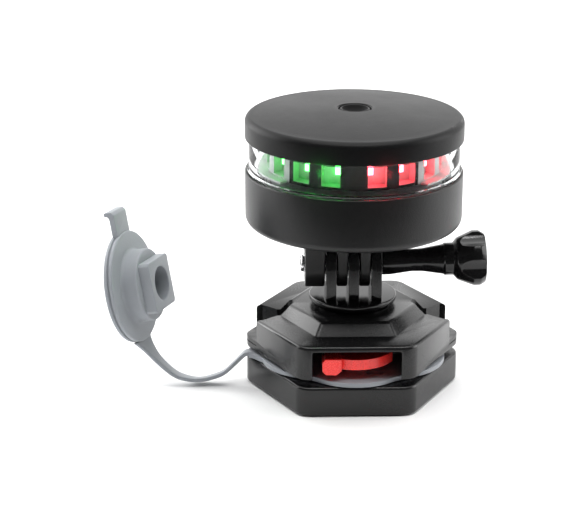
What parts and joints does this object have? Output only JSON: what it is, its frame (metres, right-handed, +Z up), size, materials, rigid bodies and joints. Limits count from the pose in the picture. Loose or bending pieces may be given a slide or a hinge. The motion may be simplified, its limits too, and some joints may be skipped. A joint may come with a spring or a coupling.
{
  "type": "navigation light",
  "caption": "Round battery navigation light with green, red and white sectors on a three-prong tilt joint, plugged into a hexagonal quick-release lock with a tethered socket cap.",
  "frame": {"origin": "centre of the base block's flat underside, on the lock's vertical axis", "axes": "+Z up, -Y towards the bow side with the latch lever, +X towards the thumb knob"},
  "size_m": [0.1024, 0.058, 0.0771],
  "materials": {
    "black_plastic": "fine-textured matte",
    "gloss_black_plastic": "satin gloss",
    "grey_soft_plastic": "soft matte",
    "red_plastic": "satin",
    "steel": "plain",
    "battery_can": "plain sleeve",
    "seal_rubber": "matte",
    "clear_lens": "clear polycarbonate",
    "white_plastic": "matte",
    "board_green": "solder mask",
    "component_black": "matte",
    "green_led_lens": "clear",
    "red_led_lens": "clear",
    "white_led_lens": "clear"
  },
  "bodies": {
    "lock": {"base_block": "black_plastic", "tether_plate": "grey_soft_plastic", "lock_housing": "black_plastic", "latch_pin": "steel", "housing_screw_1": "steel", "housing_screw_2": "steel"},
    "latch": {"latch_lever": "red_plastic"},
    "foot": {"mount_foot": "gloss_black_plastic"},
    "light": {"lower_body": "black_plastic", "clamp_nut": "steel", "battery_tray": "black_plastic", "battery_1": "battery_can", "battery_2": "battery_can", "battery_3": "battery_can", "battery_spring_1": "steel", "battery_spring_2": "steel", "battery_spring_3": "steel", "contact_plate_1": "steel", "contact_plate_2": "steel"},
    "screw": {"clamp_screw": "steel"},
    "knob": {"thumb_knob": "gloss_black_plastic"},
    "seal": {"body_seal": "seal_rubber"},
    "head": {"top_cap": "black_plastic", "lens": "clear_lens", "led_drum": "white_plastic", "led_board": "board_green", "tact_switch": "component_black", "driver_chip": "component_black", "cap_screw_1": "steel", "cap_screw_2": "steel", "cap_screw_3": "steel", "green_led_1": "green_led_lens", "green_led_2": "green_led_lens", "green_led_3": "green_led_lens", "green_led_4": "green_led_lens", "green_led_5": "green_led_lens", "red_led_1": "red_led_lens", "red_led_2": "red_led_lens", "red_led_3": "red_led_lens", "red_led_4": "red_led_lens", "red_led_5": "red_led_lens", "white_led_1": "white_led_lens", "white_led_2": "white_led_lens", "white_led_3": "white_led_lens", "white_led_4": "white_led_lens", "white_led_5": "white_led_lens", "white_led_6": "white_led_lens", "white_led_7": "white_led_lens"},
    "button": {"power_button": "seal_rubber"},
    "tether": {"socket_cap": "grey_soft_plastic", "tether_strap": "grey_soft_plastic"}
  },
  "joints": [
    {"name": "accessory_release", "type": "slide", "parent": "lock", "child": "foot", "axis": [0, 0, 1], "range_m": [0, 0.025]},
    {"name": "light_tilt", "type": "hinge", "parent": "foot", "child": "light", "pos_m": [0, 0, 0.0338], "axis": [1, 0, 0], "range_deg": [-45, 45]},
    {"name": "clamp_screw_feed", "type": "slide", "parent": "light", "child": "screw", "axis": [0.9996, 0, 0.0279], "range_m": [0, 0.002]},
    {"name": "thumb_knob_turn", "type": "hinge", "parent": "screw", "child": "knob", "pos_m": [-0.011, 0, 0.0338], "axis": [0.9996, 0, 0.0279], "range_deg": [0, 900]},
    {"name": "latch_lever_turn", "type": "hinge", "parent": "lock", "child": "latch", "pos_m": [0, -0.0136, 0.0141], "axis": [0, 0, 1], "range_deg": [0, 60]},
    {"name": "cover_rise", "type": "slide", "parent": "light", "child": "seal", "axis": [0, 0, 1], "range_m": [0, 0.0045]},
    {"name": "cover_unscrew", "type": "hinge", "parent": "seal", "child": "head", "pos_m": [0, 0, 0.0604], "axis": [0, 0, 1], "range_deg": [0, 540]},
    {"name": "power_button_press", "type": "slide", "parent": "head", "child": "button", "axis": [0, 0, -1], "range_m": [0, 0.0006], "stiffness_N_per_m": 1500},
    {"name": "cap_tether_flex", "type": "hinge", "parent": "lock", "child": "tether", "pos_m": [-0.0289, -0.003, 0.0091], "axis": [0, 1, 0], "range_deg": [0, 35], "stiffness_Nm_per_rad": 0.01}
  ],
  "couplings": [
    {"joint": "thumb_knob_turn", "follows": "clamp_screw_feed", "rad_per_m": 7854},
    {"joint": "cover_unscrew", "follows": "cover_rise", "rad_per_m": 2094.4}
  ]
}
